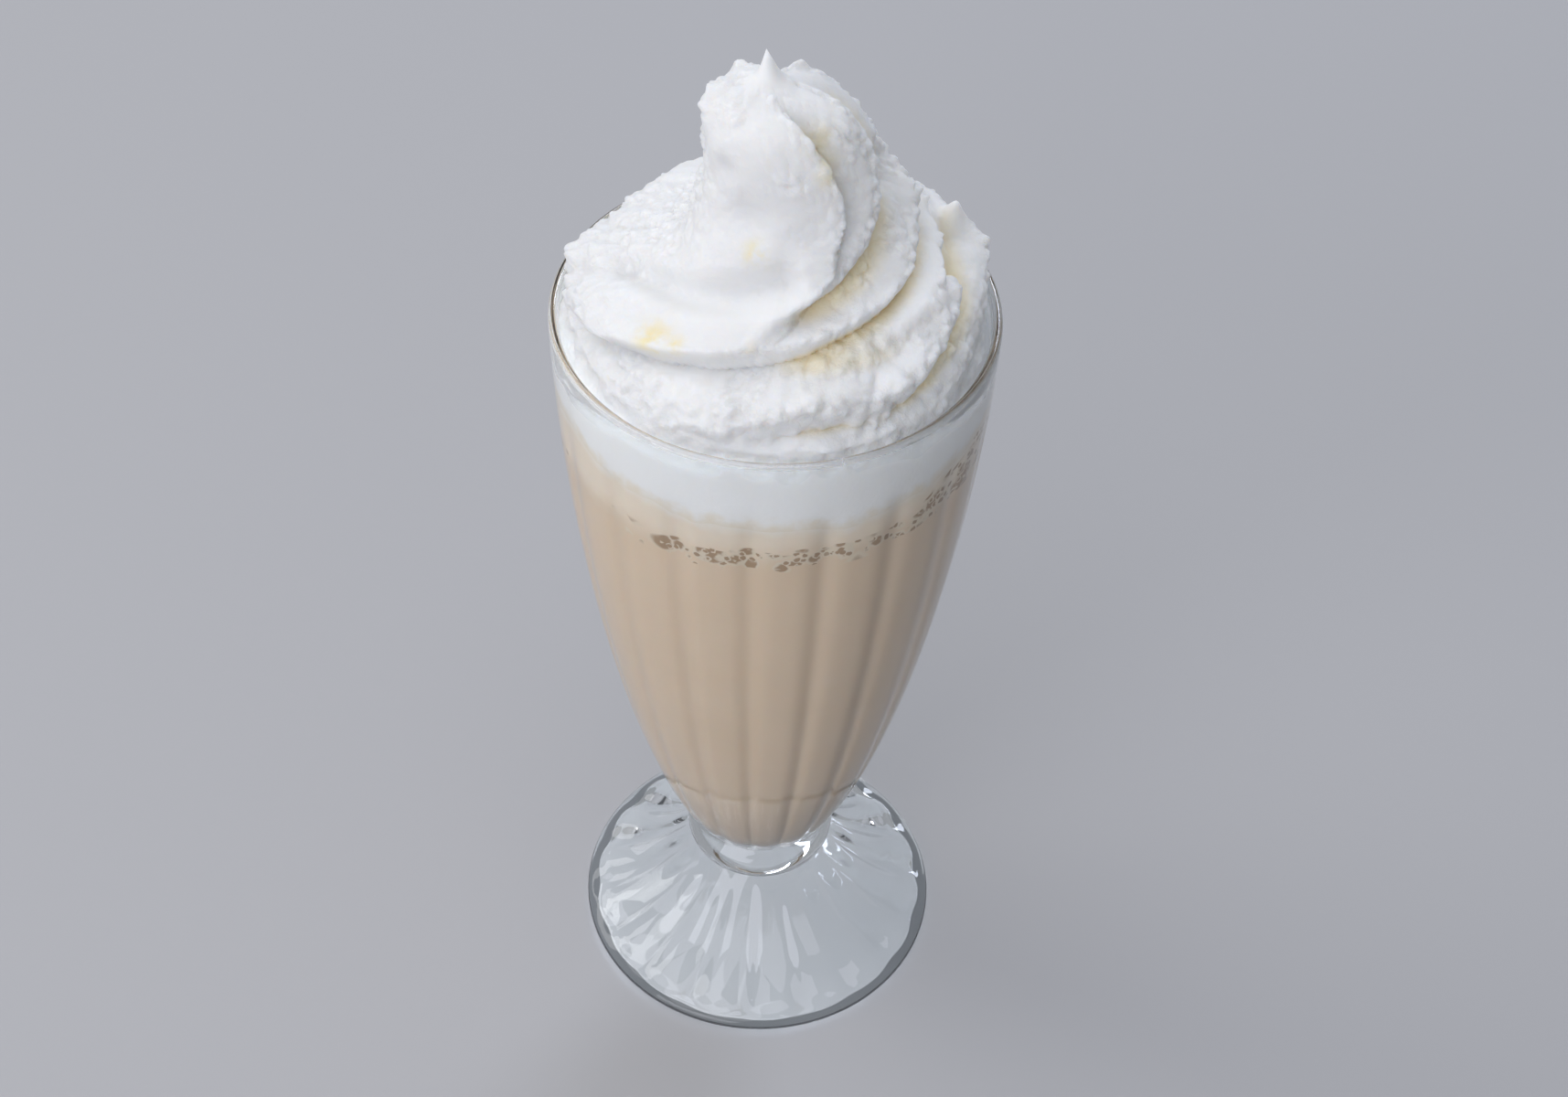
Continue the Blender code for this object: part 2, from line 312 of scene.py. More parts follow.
@dataclass(frozen=True)
class MilkyCoffee:
    """Iced coffee blended with milk: opaque and pale brown, with froth bubbles along its top.

    Heights are in mm over the coffee's top, and sides in mm from the middle to the right.
    """

    body: str = "#e0cdb6"
    deep: str = "#d8c3a9"
    froth: str = "#e7dac8"
    cream: str = "#ebe4d9"
    # painted shade inside the bubbles' hollows
    bubble_shade: str = "#a98f73"
    # painted shade: darker coffee towards the bottom of the bowl
    low_shade: str = "#bfaa92"
    film: str = "#dccfbb"
    roughness: float = 0.42
    ior: float = 1.36
    milkiness: float = 0.25  # share of the light that goes in
    milk_reach: float = 2.0  # mm that it goes
    milk_tint: Triple = (1.0, 0.55, 0.28)

    cloud: float = 16.0  # mm between paler and darker coffee
    rag: float = 5.0  # mm between a border's tongues
    foam: Triple = (1.0, 9.0, 6.0)  # its border's lower and upper end, and unevenness
    creamy: Triple = (4.4, 1.2, 4.0)  # the same in mm under the cream
    low_shade_heights: Pair = (-85.0, -120.0)  # heights where the painted shade at the bottom begins and is full

    climb: Pair = (24.0, 36.0)  # sides between which the row climbs
    row_height: Pair = (0.2, 4.5)  # before and after the climb
    row_reach: Pair = (3.6, 7.5)  # mm above and below it, before and after the climb
    row_core: float = 0.2  # share of that reach that is full
    thinned: Pair = (-22.0, -10.0)  # sides between which the row thins to the left
    thin: float = 0.12  # share left there
    bubbles: tuple[Pair, ...] = ((6.0, 0.9), (3.2, 0.9), (1.6, 0.7))  # mm across, share shown
    bubble_bend: Pair = (0.55, 0.42)  # size and depth of their unevenness, in bubbles
    bubble_edges: tuple[Pair, ...] = ((0.44, 0.30), (0.60, 0.47))  # the painted shade's and the film's
    bubble_fade: float = 0.06  # likelihood in which one comes to show

    def row(self, tree: Tree, place: Socket, level: Socket) -> Socket:
        """How likely a bubble is: most along the coffee's top, and up to the cream on the right.

        Args:
            tree: Node tree.
            place: Object coordinates.
            level: Height in mm over the coffee's top.

        Returns:
            The likelihood, 0 to 1.
        """
        along = add_node(tree, "ShaderNodeSeparateXYZ", None, Vector=place)
        side = maths(tree, "DIVIDE", along.outputs["X"], MM)
        height = ramp(tree, side, *self.climb, *self.row_height)
        reach = ramp(tree, side, *self.climb, *self.row_reach, curve="LINEAR")
        away = maths(tree, "ABSOLUTE", maths(tree, "SUBTRACT", level, height))
        likely = ramp(tree, maths(tree, "DIVIDE", away, reach), 1.0, self.row_core)
        return maths(tree, "MULTIPLY", likely, ramp(tree, side, *self.thinned, self.thin, 1.0))

    def bubble(
        self, tree: Tree, place: Socket, row: Socket, size: float, share: float
    ) -> tuple[Socket, Socket]:
        """Irregular bubbles of one size that press on the wall: painted shade in each hollow, in a pale film.

        Args:
            tree: Node tree.
            place: Object coordinates.
            row: How likely a bubble is.
            size: Distance in mm between bubbles.
            share: Share of the bubbles that show.

        Returns:
            The painted shade in the hollows and the films, 0 to 1.
        """
        wobble = noise(tree, place, self.bubble_bend[0] * size, 1.0, "Color")
        bent = add_node(
            tree, "ShaderNodeVectorMath", {"operation": "MULTIPLY_ADD"}, in0=wobble,
            in1=(self.bubble_bend[1] * size * MM,) * 3, in2=place,
        )
        cell = cells(tree, bent.outputs[0], size)
        chance = add_node(tree, "ShaderNodeSeparateColor", None, Color=cell.outputs["Color"]).outputs[0]
        picked = maths(tree, "SUBTRACT", maths(tree, "MULTIPLY", row, share), chance)
        shown = ramp(tree, picked, 0.0, self.bubble_fade, curve="LINEAR")
        edges = (ramp(tree, cell.outputs["Distance"], *edge) for edge in self.bubble_edges)
        return tuple(maths(tree, "MULTIPLY", edge, shown) for edge in edges)

    def material(self, name: str) -> Material:
        """Builds it.

        Args:
            name: Name of the material.

        Returns:
            The material, which reads the attributes level, the height in mm over the coffee's
            top, and under, the depth in mm under the cream.
        """
        made, tree, place = new_tree(name)
        level, under = attribute(tree, "level"), attribute(tree, "under")
        colour = blend(tree, noise(tree, place, self.cloud, 4.0), self.body, self.deep)
        # painted shade, darker towards the bottom of the bowl
        colour = blend(tree, ramp(tree, level, *self.low_shade_heights), colour, self.low_shade)
        ragged = noise(tree, place, self.rag, 3.0)
        for border, height, tint in ((self.foam, level, self.froth), (self.creamy, under, self.cream)):
            start, end, uneven = border
            share = ramp(tree, maths(tree, "MULTIPLY_ADD", ragged, uneven, height), start, end)
            colour = blend(tree, share, colour, tint)
        row = self.row(tree, place, level)
        for size, share in self.bubbles:
            bubble_shade, film = self.bubble(tree, place, row, size, share)
            # painted shade in each bubble's hollow, inside its pale film
            colour = blend(tree, bubble_shade, blend(tree, film, colour, self.film), self.bubble_shade)
        finish_tree(
            tree, Base_Color=colour, Roughness=self.roughness, IOR=self.ior, Subsurface_Weight=self.milkiness,
            Subsurface_Radius=self.milk_tint, Subsurface_Scale=self.milk_reach * MM,
        )
        return made


@dataclass(frozen=True)
class WhippedCream:
    """Whipped cream from a star nozzle: white fat foam, soft inside, with a finely torn surface."""

    colour: str = "#ededec"
    # painted warm light: a yellow glow in crevices where light shines through the cream
    painted_warm_light: str = "#f1e2ae"
    # painted warm shade in the creases
    painted_crease_shade: str = "#f2e6c6"
    foam: str = "#e6dccb"
    roughness: float = 0.6
    ior: float = 1.45
    softness: float = 0.9  # share of the light that goes in
    foam_softness: float = 0.12  # the same beside the froth
    soft_from: Pair = (2.0, 15.0)  # mm over the froth, from the one to the other
    soft_reach: float = 3.5  # mm that the light goes
    soft_tint: Triple = (1.0, 0.88, 0.74)

    blotch: float = 3.0  # mm across uneven patches
    warm_light_patch: Pair = (0.35, 0.6)  # noise where a patch of painted warm light begins and is full
    deep: Pair = (0.3, 0.9)  # depth where the painted warm shade of the creases begins and is full
    crease_shade_most: float = 0.9  # most of that painted shade
    froth_border: Triple = (1.0, -3.5, -6.0)  # mm over the froth: ends and unevenness

    tear: float = 0.8  # mm between the small tears
    tear_rough: float = 0.6
    pit: float = 1.5  # mm between the pits
    pit_depth: float = -0.5
    least_torn: float = 0.06
    relief: Pair = (0.55, 0.9)  # strength, and depth in mm

    def material(self) -> Material:
        """Builds it.

        Returns:
            The material, which reads painted_warm_light, painted_crease_shade and torn, 1 where the cream
            gets painted warm light, lies deep in a crease and gets painted warm shade, or is torn, and level,
            the height in mm over the froth.
        """
        made, tree, place = new_tree("whipped_cream")
        names = ("painted_warm_light", "painted_crease_shade", "level", "torn")
        painted_warm_light, painted_crease_shade, level, torn = (attribute(tree, name) for name in names)
        blotch = noise(tree, place, self.blotch, 3.0)
        # painted warm shade in the creases
        colour = blend(tree, ramp(tree, painted_crease_shade, *self.deep, 0.0, self.crease_shade_most), self.colour, self.painted_crease_shade)
        # painted warm light in patches in the crevices
        warm_light_patches = maths(tree, "MULTIPLY", painted_warm_light, ramp(tree, blotch, *self.warm_light_patch, curve="LINEAR"))
        colour = blend(tree, warm_light_patches, colour, self.painted_warm_light)
        start, end, uneven = self.froth_border
        low = maths(tree, "MULTIPLY_ADD", blotch, uneven, level)
        colour = blend(tree, ramp(tree, low, start, end), colour, self.foam)
        fine = noise(tree, place, self.tear, 4.0, rough=self.tear_rough)
        pits = cells(tree, place, self.pit).outputs["Distance"]
        amount = ramp(tree, torn, 0.0, 1.0, self.least_torn, 1.0, curve="LINEAR")
        height = maths(tree, "MULTIPLY", maths(tree, "MULTIPLY_ADD", pits, self.pit_depth, fine), amount)
        finish_tree(
            tree, Base_Color=colour, Roughness=self.roughness, IOR=self.ior,
            Subsurface_Weight=ramp(tree, level, *self.soft_from, self.foam_softness, self.softness),
            Subsurface_Radius=self.soft_tint, Subsurface_Scale=self.soft_reach * MM,
            Normal=bump(tree, height, *self.relief),
        )
        return made


@dataclass(frozen=True)
class PaleBoard:
    """A matt painted board, pale grey and paler far away."""

    colour: str = "#b2b2b4"
    far: str = "#f2f3f6"
    far_from: float = 0.7  # m away, where it begins to be paler
    far_to: float = 3.0
    grain: float = 3.0  # mm
    relief: Pair = (0.05, 0.2)  # strength, and depth in mm
    roughness: float = 0.75

    def material(self) -> Material:
        """Builds it.

        Returns:
            The material.
        """
        made, tree, place = new_tree("pale_board")
        away = add_node(tree, "ShaderNodeVectorMath", {"operation": "LENGTH"}, in0=place).outputs["Value"]
        finish_tree(
            tree, Base_Color=blend(tree, ramp(tree, away, self.far_from, self.far_to), self.colour, self.far),
            Roughness=self.roughness, Normal=bump(tree, noise(tree, place, self.grain, 2.0), *self.relief),
        )
        return made


def dress(piece: Piece, material: Material, node: str) -> None:
    """Gives a piece its material and its place in the frame.

    Args:
        piece: The piece.
        material: Its material.
        node: The solid that it stands for.
    """
    piece.data.materials.append(material)
    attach(piece, "root")
    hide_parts(node)
    LOG.info("%s: %d faces", piece.name, len(piece.data.polygons))


@dataclass
class SodaGlass:
    """A footed soda glass: fluted bowl, round collar and a fluted, hollow foot."""

    finish: PressedGlass = PressedGlass()
    height: float = 185.0
    flutes: int = 18
    flute_start: float = -5.0
    columns_per_flute: int = 24
    join_power: float = 6.5
    neck_z: float = 33.0
    neck_radius: float = 13.0
    rim_radius: float = 42.3
    rim_wall: float = 1.85
    lip: float = 0.9  # height of the rim's rounding
    low_wall: float = 3.2
    open_by: float = 1.7
    fullness: float = 0.7
    flute_end: Pair = (175.0, -14.0)  # rise with height: start and length
    flute_rise: float = 6.0
    outer_flute: float = 0.3
    inner_rib: float = 0.95
    floor_z: float = 37.6
    floor_rounding: float = 8.0
    floor_spread: float = 0.9  # of the squared radius
    collar_radius: float = 16.5
    collar_z: float = 28.6
    collar_half: float = 4.0
    foot_top_z: float = 24.5
    foot_top_radius: float = 13.4
    foot_radius: float = 40.5
    foot_edge: float = 1.6
    rest_ring: Pair = (37.4, 39.2)
    foot_rise: float = 1.9  # power of its rise to the collar
    foot_flute: float = 1.5
    foot_join_power: float = 2.5
    foot_flute_ends: Pair = (0.15, 0.3)  # shares of it where they set in
    hollow_top: float = 19.4
    hollow_radius: float = 37.0
    hollow_roof: float = 0.4  # its height at the edge
    hollow_curve: Pair = (1.25, 1.15)

    def opening(self, z: Array | float) -> Array:
        """How far up the bowl a height is, 0 at the neck and 1 at the rim."""
        return np.clip((np.asarray(z, float) - self.neck_z) / (self.height - self.neck_z), 0.0, 1.0)

    def outer(self, z: Array | float) -> Array:
        """Mean outer radius of the bowl at a height: neck + (rim - neck) (1 - (1 - t)^a)^b."""
        full = (1.0 - (1.0 - self.opening(z)) ** self.open_by) ** self.fullness
        return self.neck_radius + (self.rim_radius - self.neck_radius) * full

    def band(self, z: Array | float) -> Array:
        """1 on the fluted part of the bowl, easing to 0 at the plain band under the rim and the neck."""
        return rise(z, *self.flute_end) * rise(z, self.neck_z, self.flute_rise)

    def join(self, azimuth: Array, power: float | None = None) -> Array:
        """1 on the joins between flutes, 0 on their faces: |cos(pi n a / 360)| to a power."""
        turn = (azimuth - self.flute_start) * self.flutes / 360.0
        return np.abs(np.cos(np.pi * turn)) ** (power or self.join_power)

    def inner(self, z: Array, azimuth: Array) -> Array:
        """Radius of the bowl's inside: outer less the wall, rounded in to the floor, less the ribs.

        Args:
            z: Height in mm.
            azimuth: Degrees from the front.

        Returns:
            Radius in mm.
        """
        thick = self.rim_wall + (self.low_wall - self.rim_wall) * (1.0 - self.opening(z))
        low = np.clip((self.floor_z + self.floor_rounding - z) / self.floor_rounding, 0.0, 1.0)
        plain = (self.outer(z) - thick) * np.sqrt(1.0 - self.floor_spread * low**2)
        return plain - self.inner_rib * self.band(z) * self.join(azimuth)

    def azimuths(self) -> Array:
        """Azimuths of the columns, one on each join."""
        count = self.flutes * self.columns_per_flute
        return self.flute_start + np.arange(count) * 360.0 / count

    def foot(self) -> list[Array]:
        """Rings from inside the hollow, over the rest ring and the rounded edge, up to the collar.

        Returns:
            The rings.
        """
        azimuth = self.azimuths()
        t = spaced(0.04, 1.0, 26)
        out, up = self.hollow_curve
        dome = (self.hollow_top - self.hollow_roof) * (1.0 - t**out) ** up
        under = turned(self.hollow_radius * t, dome + self.hollow_roof, azimuth)
        rest = turned(np.array(self.rest_ring)[:, None], 0.0, azimuth)
        turn = np.radians(spaced(-60.0, 60.0, 9))
        edge = turned(self.foot_radius - self.foot_edge * (1.0 - np.cos(turn)),
                      self.foot_edge * (1.0 + np.sin(turn)), azimuth)
        t = spaced(0.97, 0.0, 36)
        radius = self.foot_top_radius + (self.foot_radius - 1.0 - self.foot_top_radius) * t
        low = 2.0 * self.foot_edge
        z = low + 0.2 + (self.foot_top_z - low) * (1.0 - t) ** self.foot_rise
        outer, inner = self.foot_flute_ends
        raised = self.foot_flute * smooth_step((1.0 - t) / outer) * smooth_step(t / inner)
        top = turned(radius, z + raised * (1.0 - self.join(azimuth, self.foot_join_power)), azimuth)
        return [under, rest, edge, top]

    def build(self) -> None:
        """Makes the glass as one closed surface from the hollow's top to the floor of the bowl."""
        azimuth = self.azimuths()
        turn = np.radians(spaced(-70.0, 62.0, 15))
        collar = turned(self.neck_radius + (self.collar_radius - self.neck_radius) * np.cos(turn),
                        self.collar_z + self.collar_half * np.sin(turn), azimuth)
        up = self.neck_z + 0.3 + (self.height - 1.2 - self.neck_z) * spaced(0.0, 1.0, 60) ** 1.3
        outside = turned(self.outer(up) - self.outer_flute * self.join(azimuth) * self.band(up), up, azimuth)
        turn = np.radians(spaced(15.0, 165.0, 9))
        lip = turned(self.rim_radius - self.rim_wall / 2 * (1.0 - np.cos(turn)),
                     self.height + self.lip * (np.sin(turn) - 1.0), azimuth)
        down = self.floor_z + 0.1 + (self.height - 1.1 - self.floor_z) * spaced(1.0, 0.0, 64) ** 1.5
        inside = turned(self.inner(down, azimuth), down, azimuth)
        rows = np.concatenate([*self.foot(), collar, outside, lip, inside])
        piece = shell("glass_shell", rows, (0.0, 0.0, self.hollow_top), (0.0, 0.0, self.floor_z))
        dress(piece, self.finish.material(), "glass")


@dataclass
class Filling:
    """Coffee and froth inside the bowl, each a solid that reaches just into the glass."""

    glass: SodaGlass
    finish: MilkyCoffee = MilkyCoffee()
    reach: float = 0.08
    coffee_level: float = 158.6
    coffee_tilt: float = 2.2
    froth_level: float = 167.0
    froth_climb: float = 4.0
    froth_lumps: tuple = ((1.1, 7.0, 0.0), (0.5, 2.5, 50.0))  # height, pitch and shift
    wall_radius: float = 39.0

    def coffee_top(self, azimuth: Array) -> Array:
        """Height where the coffee meets the froth on the wall, higher on the right."""
        return self.coffee_level + self.coffee_tilt * np.sin(np.radians(azimuth))

    def froth_top(self, azimuth: Array) -> Array:
        """Height where the froth meets the cream on the wall: higher at both sides, and wavy."""
        even = self.froth_level + self.froth_climb * np.sin(np.radians(azimuth)) ** 2
        place = turned(self.wall_radius, 0.0, azimuth)
        return even + Lumps(seed=3).layers(place, *self.froth_lumps)

    def body(self, name: str, heights: Array, material: str, node: str) -> None:
        """Makes one filling from its rings' heights.

        Args:
            name: Name of the piece.
            heights: Rings by columns, the height of each point on the wall.
            material: Name of its material.
            node: The solid that it stands for.
        """
        azimuth = self.glass.azimuths()
        radius = self.glass.inner(heights, azimuth) + self.reach
        low, high = float(heights[0].mean()), float(heights[-1].mean())
        line, top = self.coffee_level, self.froth_level
        piece = shell(name, turned(radius, heights, azimuth), (0.0, 0.0, low - 0.05), (0.0, 0.0, high))
        paint(piece, "level", heights - self.coffee_top(azimuth), low - line, high - line)
        paint(piece, "under", self.froth_top(azimuth) - heights, top - low, top - high)
        dress(piece, self.finish.material(material), node)

    def build(self) -> None:
        """Makes the coffee and the froth."""
        azimuth = self.glass.azimuths()
        share = spaced(0.0, 1.0, 56) ** 1.4
        floor = self.glass.floor_z + 0.05
        line, top = self.coffee_top(azimuth), self.froth_top(azimuth)
        self.body("coffee_drink", floor + (line - floor) * share, "milky_coffee", "coffee")
        share = spaced(0.0, 1.0, 12)
        self.body("froth_layer", line + (top - line) * share, "coffee_froth", "froth")


@dataclass(frozen=True)
class Pull:
    """A pulled point, bead or curl of cream: its place, the way it points and its size in mm."""

    place: Triple
    way: Triple
    height: float
    width: float
    power: float = 1.4


@dataclass(frozen=True)
class Spot:
    """A soft spot on a surface: its place and reach in mm."""

    place: Triple
    reach: float


@dataclass(frozen=True)
class Dent:
    """A slimmer side of the swirl. Its place along the swirl is 0 at the rim and 1 at the tip."""

    depth: float
    azimuth: float
    half_angle: float
    place: float
    reach: float


@dataclass(frozen=True)
class Skin:
    """The swirl's mean surface as a grid of rings from tip to rim, in mm and degrees."""

    radius: Array
    z: Array
    turns: Array
    out_r: Array
    out_z: Array
    azimuth: Array
    up: Array

    def points(self) -> Array:
        """Its points."""
        return turned(self.radius, self.z, self.azimuth)

    def around(self) -> Array:
        """Azimuth from -180 to 180."""
        return np.mod(self.azimuth + 180.0, 360.0) - 180.0

    def hump(self, middle: float, half_angle: float) -> Array:
        """1 at one azimuth, easing to 0 on both sides: exp(-(difference / half angle)^2)."""
        away = np.mod(self.azimuth - middle + 180.0, 360.0) - 180.0
        return np.exp(-((away / half_angle) ** 2))


@dataclass
class CreamSwirl:
    """The piped swirl: a mean surface of revolution with folds that wind round it to the tip.

    A rise, with the radius unless it says otherwise, is a start and a length, which is negative for
    a fall. A layer of lumps is a height, a pitch and a shift, a place an azimuth and a half angle.
    """

    filling: Filling
    finish: WhippedCream = WhippedCream()
    columns: int = 480
    rings: int = 170
    wall_rings: int = 33
    fine_rings: int = 400
    smoothing: tuple[int, int] = (8, 12)  # fine rings that outline and turns average
    stations: tuple = (
        (39.9, 186.0), (38.9, 189.5), (35.8, 194.5), (30.2, 199.5), (24.4, 204.5), (20.6, 210.0),
        (17.6, 216.5), (15.8, 223.0), (14.6, 229.0), (12.8, 233.0), (9.0, 235.4), (4.2, 236.8), (2.1, 238.2),
        (0.9, 240.8),
    )
    tip: Triple = (-3.0, 0.0, 243.0)
    tip_bend: Pair = (0.6, 0.3)  # rise along the swirl
    lean: float = 2.4
    dents: tuple = (
        Dent(4.0, -120.0, 55.0, 0.33, 0.17), Dent(1.5, -100.0, 35.0, 0.60, 0.50),
        Dent(5.5, 168.0, 60.0, 1.00, 0.30),
    )
    dent_until: float = 8.0  # radius under which dents fade
    rim_gaps: tuple = ((2.0, -70.0, 34.0), (2.6, -128.0, 16.0), (1.8, 80.0, 35.0))
    rim_from: Pair = (36.5, 3.0)  # rise
    ragged: Triple = (1.6, 4.0, 70.0)  # layer where the cream meets the rim
    ragged_mean: float = 0.2
    ragged_until: Pair = (40.3, -3.0)  # rise

    folds: int = 5
    fold_radii: tuple = (12.0, 14.0, 16.5, 18.7, 20.7, 23.9, 28.1, 33.0, 37.2, 40.0)
    fold_turns: tuple = (-0.30, -0.27, -0.05, 0.24, 0.47, 0.88, 1.75, 2.40, 2.85, 3.15)
    fold_height: float = 4.6
    fold_mean: float = 0.55
    fold_curve: Pair = (1.3, 0.6)  # powers of the slow rise and of the steep drop
    fold_from: tuple = ((4.0, 13.0), (185.5, 6.0))  # rises with radius and with height
    crest: float = 0.76
    torn_crest: Pair = (0.78, 0.08)  # middle and half width in folds
    wander: float = 0.06  # folds by which creases leave their course
    wander_lumps: tuple = ((1.0, 11.0, 0.0), (0.45, 3.2, 30.0), (0.2, 1.3, 60.0))
    wander_from: Pair = (3.0, 10.0)  # rise
    spread: float = 0.5  # folds by which the outer creases lie further out on the right
    spread_from: Pair = (28.5, 4.0)  # rise
    spread_sides: tuple = ((-5.0, 45.0), (160.0, -40.0))  # rises with azimuth
    swell: Triple = (0.55, 8.0, 15.0)  # layer all over

    edge_height: float = 3.4
    edge_mean: float = 0.3
    edge_lumps: tuple = ((0.8, 4.0, 90.0), (0.4, 1.5, 120.0))
    edge_step: Pair = (1.7, 5.0)  # width where the edge is high and where it ends
    edge_reach: float = 18.0
    edge_radii: tuple = (6.0, 11.0, 14.7, 17.3, 20.5, 23.0, 26.0, 29.7, 33.6, 35.4, 38.3, 40.0)
    edge_azimuths: tuple = (12.0, 26.0, 36.0, 31.0, 21.0, 12.0, 2.0, -7.0, -33.0, -44.0, -65.0, -85.0)
    ending: Pair = (21.0, 7.0)  # rise, to where the edge ends
    cover_start: Pair = (6.0, 8.0)  # degrees in which it sets in, and more at the ending
    cover_end: Pair = (190.0, 35.0)  # degrees behind the edge, and fewer at the ending
    cover_fall: float = 60.0
    cover_level: float = 0.8  # height of the covered folds
    calm: float = 0.5  # share of the folds that the edge takes away
    soft_crease: tuple = ((-85.0, 33.0), (-60.0, 27.5), (-30.0, 24.0), (-5.0, 21.5))  # azimuth, radius
    soft_ends: tuple = ((-95.0, 15.0), (8.0, -12.0))  # rises with azimuth
    soft_depth: float = 3.6
    soft_width: float = 1.9
    crease_shade_side: Triple = (0.3, -12.0, 25.0)  # least painted crease shade, and its rise with azimuth towards the right

    torn_least: float = 0.12
    torn_edge: float = 2.0  # reach behind the last turn's edge
    torn_lumps: Triple = (0.5, 9.0, 7.0)  # share, pitch and shift
    torn_lumps_from: Pair = (0.1, 0.3)  # rise with their height
    torn_places: tuple = ((-95.0, 34.0, 0.8), (30.0, 30.0, 0.12))  # place, share
    torn_rim: Triple = (0.3, 33.0, 5.0)  # share, and rise
    torn_from: Pair = (2.0, 5.0)  # rise
    crumb: float = 1.15
    crumb_lumps: tuple = ((1.1, 3.0, 0.0), (0.9, 1.4, 50.0))
    crumb_mean: float = 0.55
    crumb_from: Pair = (185.9, 1.2)  # rise with height
    clump: Triple = (1.7, 5.0, 25.0)  # layer
    clump_mean: float = 0.3
    clump_places: tuple = ((28.0, 32.0, 30.0), (-100.0, 26.0, 15.0))  # place, least radius
    clump_rise: float = 5.0
    wall_top: float = 180.0  # height where the cream comes off the wall
    wall_lumps: Triple = (1.5, 5.0, 0.0)
    wall_crumbs: tuple = ((0.7, 2.6, 0.0), (0.5, 1.3, 20.0))
    wall_torn: Pair = (0.05, 0.85)  # on the wall and off it

    dimples: tuple = (
        Pull((-6.0, -17.0, 219.0), (0.3, 0.9, 0.0), 2.0, 4.2, 2.0),
        Pull((-9.4, -12.2, 226.5), (0.6, 0.8, 0.0), 1.0, 2.4, 2.0),
        Pull((-10.0, -8.5, 233.0), (0.8, 0.6, 0.0), 1.0, 2.2, 2.0),
        Pull((20.5, 0.5, 217.5), (-1.0, 0.0, 0.0), 3.2, 5.0, 2.0),
    )
    pulls: tuple = (
        Pull((32.0, 12.3, 195.5), (0.1, 0.0, 1.0), 6.5, 2.4),
        Pull((37.0, 9.8, 193.5), (0.8, -0.1, 0.5), 2.8, 2.4),
        Pull((23.5, 3.0, 211.0), (1.0, 0.0, 0.3), 2.4, 3.6),
        Pull((-36.0, 4.5, 192.5), (-1.0, 0.1, 0.2), 4.0, 2.8),
        Pull((-38.6, -1.0, 187.5), (-1.0, 0.0, 0.5), 2.2, 2.8),
        Pull((-24.0, 8.0, 206.0), (-0.8, 0.2, 0.5), 2.6, 2.2),
        Pull((-28.5, 6.0, 201.5), (-0.9, 0.1, 0.4), 2.2, 2.0),
        Pull((-33.5, 3.0, 197.0), (-1.0, 0.0, 0.3), 1.8, 2.0),
        Pull((-38.6, -7.0, 185.5), (-1.0, 0.0, 0.6), 1.6, 2.2),
        Pull((-11.6, -1.5, 236.0), (-0.7, 0.0, 0.7), 2.2, 1.7),
        Pull((-13.0, -4.2, 234.0), (-1.0, 0.0, 0.1), 1.7, 1.3),
        Pull((9.9, -39.4, 186.2), (0.2, -0.8, 0.5), 2.0, 2.6),
    )
    # places of the painted warm light in the crevices
    painted_warm_light: tuple = (
        Spot((-22.0, -24.7, 199.1), 3.4), Spot((-18.0, -27.3, 200.0), 1.8), Spot((-4.0, -19.5, 213.8), 2.2),
        Spot((-4.3, -31.1, 201.7), 1.4), Spot((6.5, -11.0, 233.0), 2.6), Spot((9.0, -14.0, 229.0), 2.8),
    )

    lumps: Lumps = field(init=False)
    skin: Skin = field(init=False)

    def __post_init__(self) -> None:
        """Makes its unevenness and its mean surface."""
        self.lumps = Lumps(seed=11)
        self.skin = self.mean()

    def fold(self, phase: Array) -> Array:
        """Height across one fold: a slow rise from a crease to the crest, then a steep drop.

        The rise is half a quarter sine and half a power, and the drop a power of a cosine.

        Args:
            phase: Position in folds, whole numbers being creases.

        Returns:
            Height from 0 to 1.
        """
        f = np.mod(phase, 1.0)
        up, down = self.fold_curve
        climb = np.clip(f / self.crest, 0.0, 1.0)
        climb = 0.5 * np.sin(0.5 * np.pi * climb) + 0.5 * climb**up
        drop = np.cos(0.5 * np.pi * np.clip((f - self.crest) / (1.0 - self.crest), 0.0, 1.0)) ** down
        return np.where(f < self.crest, climb, drop)

    def ridge(self, phase: Array) -> Array:
        """1 along the crests, where the cream is torn, easing to 0 on both sides."""
        middle, half = self.torn_crest
        return np.exp(-(((np.mod(phase, 1.0) - middle) / half) ** 2))

    def mean(self) -> Skin:
        """The mean surface, from the smoothed stations, with evenly spaced rings and columns.

        Returns:
            The mean surface.
        """
        stations = np.array(self.stations)[::-1]
        along = np.concatenate([[0.0], np.cumsum(np.hypot(*np.diff(stations, axis=0).T))])
        fine = np.linspace(0.0, along[-1], self.fine_rings)
        outline, winding = self.smoothing
        radius, z = (
            smoothed(np.interp(fine, along, stations[:, i]), outline, mode="reflect", reflect_type="odd")
            for i in (0, 1)
        )
        slope_r, slope_z = np.gradient(radius, fine), np.gradient(z, fine)
        length = np.hypot(slope_r, slope_z)
        turns = smoothed(np.interp(radius, self.fold_radii, self.fold_turns), winding, mode="edge")
        at = np.linspace(0.0, along[-1], self.rings)
        found = (radius, z, turns, -slope_z / length, slope_r / length)
        rows = [np.interp(at, fine, values)[:, None] for values in found]
        azimuth = np.arange(self.columns)[None, :] * 360.0 / self.columns
        up = (rows[1] - self.stations[0][1]) / (self.tip[2] - self.stations[0][1])
        return Skin(*rows, azimuth, up)

